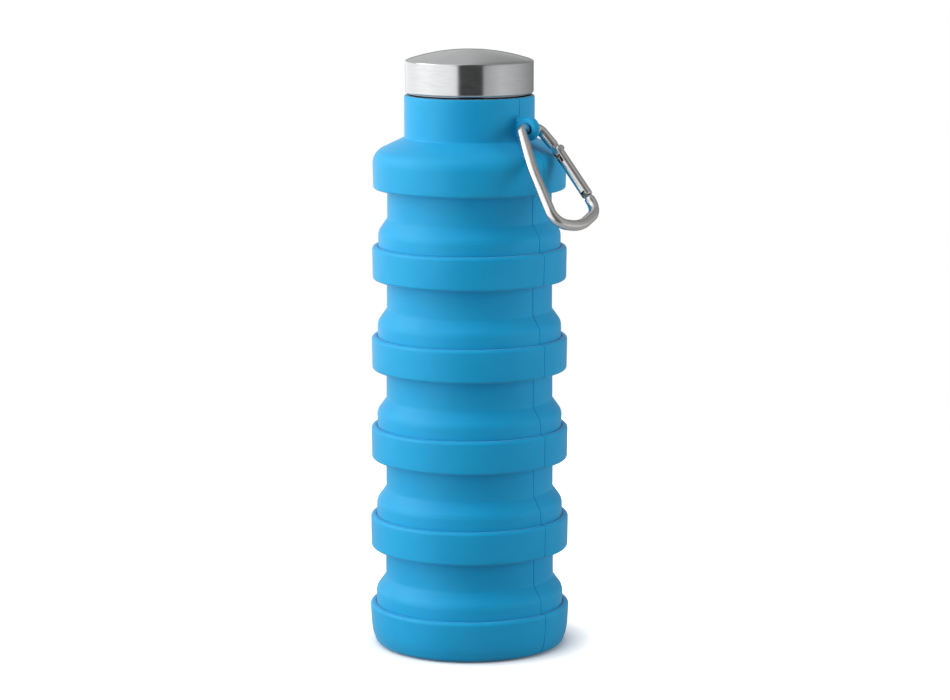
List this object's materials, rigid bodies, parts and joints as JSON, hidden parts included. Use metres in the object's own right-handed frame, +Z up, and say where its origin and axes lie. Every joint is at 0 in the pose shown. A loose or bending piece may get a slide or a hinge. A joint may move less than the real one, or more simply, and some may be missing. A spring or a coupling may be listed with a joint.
{
  "type": "folding water bottle",
  "caption": "Collapsible silicone water bottle with stacked folding bands, a screw-on brushed steel cap and a small carabiner on a neck lug.",
  "frame": {"origin": "centre of the foot, at the level the bottle stands on", "axes": "+Z up along the bottle's axis; +X towards the lug and the carabiner, in the mould's parting plane"},
  "size_m": [0.0929, 0.0726, 0.2168],
  "materials": {
    "silicone": "matte sky-blue silicone",
    "cap_steel": "circumferentially brushed stainless steel",
    "polished_steel": "polished steel wire",
    "spring_steel": "plain spring steel",
    "ring_plastic": "dark moulded plastic",
    "liner_plastic": "dark moulded plastic",
    "seal_rubber": "translucent white silicone"
  },
  "bodies": {
    "base": {"base_cup": "silicone", "dome_5": "silicone"},
    "ring_4": {"band_4": "silicone", "dome_4": "silicone", "waist_5": "silicone"},
    "ring_3": {"band_3": "silicone", "dome_3": "silicone", "waist_4": "silicone"},
    "ring_2": {"band_2": "silicone", "dome_2": "silicone", "waist_3": "silicone"},
    "ring_1": {"band_1": "silicone", "dome_1": "silicone", "waist_2": "silicone"},
    "neck": {"shoulder": "silicone", "neck_lug": "silicone", "neck_ring": "ring_plastic", "waist_1": "silicone"},
    "seal": {"cap_seal": "seal_rubber"},
    "cap": {"cap_shell": "cap_steel", "cap_liner": "liner_plastic"},
    "carabiner": {"carabiner_frame": "polished_steel", "gate_pivot_pin": "polished_steel"},
    "gate": {"carabiner_gate": "polished_steel", "gate_latch_pin": "polished_steel", "gate_spring": "spring_steel", "gate_plunger": "spring_steel"}
  },
  "joints": [
    {"name": "fold_5", "type": "slide", "parent": "base", "child": "ring_4", "axis": [0, 0, 1], "range_m": [-0.0206, 0], "deforming": ["dome_5"]},
    {"name": "fold_4", "type": "slide", "parent": "ring_4", "child": "ring_3", "axis": [0, 0, 1], "range_m": [-0.0206, 0], "deforming": ["dome_4"]},
    {"name": "fold_3", "type": "slide", "parent": "ring_3", "child": "ring_2", "axis": [0, 0, 1], "range_m": [-0.0206, 0], "deforming": ["dome_3"]},
    {"name": "fold_2", "type": "slide", "parent": "ring_2", "child": "ring_1", "axis": [0, 0, 1], "range_m": [-0.0206, 0], "deforming": ["dome_2"]},
    {"name": "fold_1", "type": "slide", "parent": "ring_1", "child": "neck", "axis": [0, 0, 1], "range_m": [-0.0206, 0], "deforming": ["dome_1"]},
    {"name": "cap_rise", "type": "slide", "parent": "neck", "child": "seal", "axis": [0, 0, 1], "range_m": [0, 0.0141]},
    {"name": "cap_turn", "type": "hinge", "parent": "seal", "child": "cap", "pos_m": [0, 0, 0.2015], "axis": [0, 0, 1], "range_deg": [0, 1260]},
    {"name": "carabiner_swing", "type": "hinge", "parent": "neck", "child": "carabiner", "pos_m": [0.028, 0, 0.19], "axis": [0, -1, 0], "range_deg": [0, 135]},
    {"name": "gate_swing", "type": "hinge", "parent": "carabiner", "child": "gate", "pos_m": [0.03533, 0.00718, 0.18233], "axis": [-0.7529, 0.0698, -0.6545], "range_deg": [0, 28], "stiffness_Nm_per_rad": 0.03, "springref_deg": -22.92}
  ],
  "couplings": [
    {"joint": "cap_rise", "follows": "cap_turn", "m_per_rad": 0.00063662}
  ]
}
